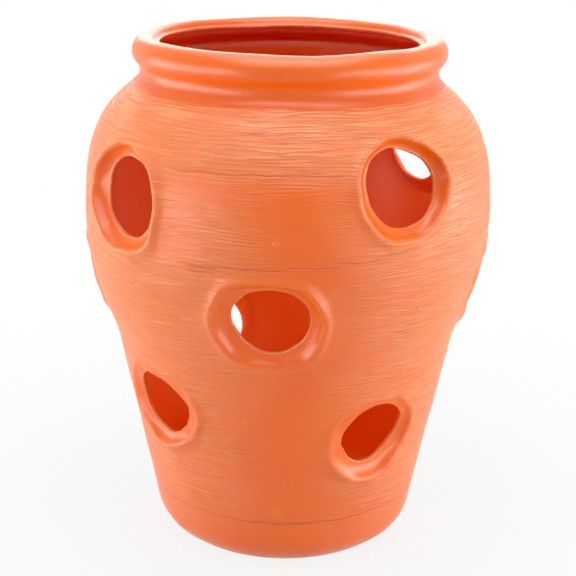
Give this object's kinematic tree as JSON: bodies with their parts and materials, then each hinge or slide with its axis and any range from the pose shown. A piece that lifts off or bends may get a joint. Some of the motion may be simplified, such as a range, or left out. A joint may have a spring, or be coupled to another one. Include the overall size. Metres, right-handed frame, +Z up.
{
  "type": "strawberry jar planter",
  "caption": "Bellied plastic planting jar with a rolled rim, a wide mouth and rows of open lipped pockets round its side, on a narrow base with a push-in drain plug.",
  "frame": {"origin": "on the jar's axis at the level of the ground it stands on", "axes": "+Z up the jar's axis; the side seen in the picture faces -Y; +X to that viewer's right"},
  "size_m": [0.3323, 0.3327, 0.42],
  "materials": {
    "jar": "blow-moulded polyethylene, satin, brushed with fine level lines",
    "plug": "moulded rubber, dull"
  },
  "bodies": {
    "jar": {"jar": "jar"},
    "drain_plug": {"drain_plug": "plug"}
  },
  "joints": [
    {"name": "plug_lift", "type": "slide", "parent": "jar", "child": "drain_plug", "axis": [0, 0, 1], "range_m": [0, 0.43]}
  ]
}
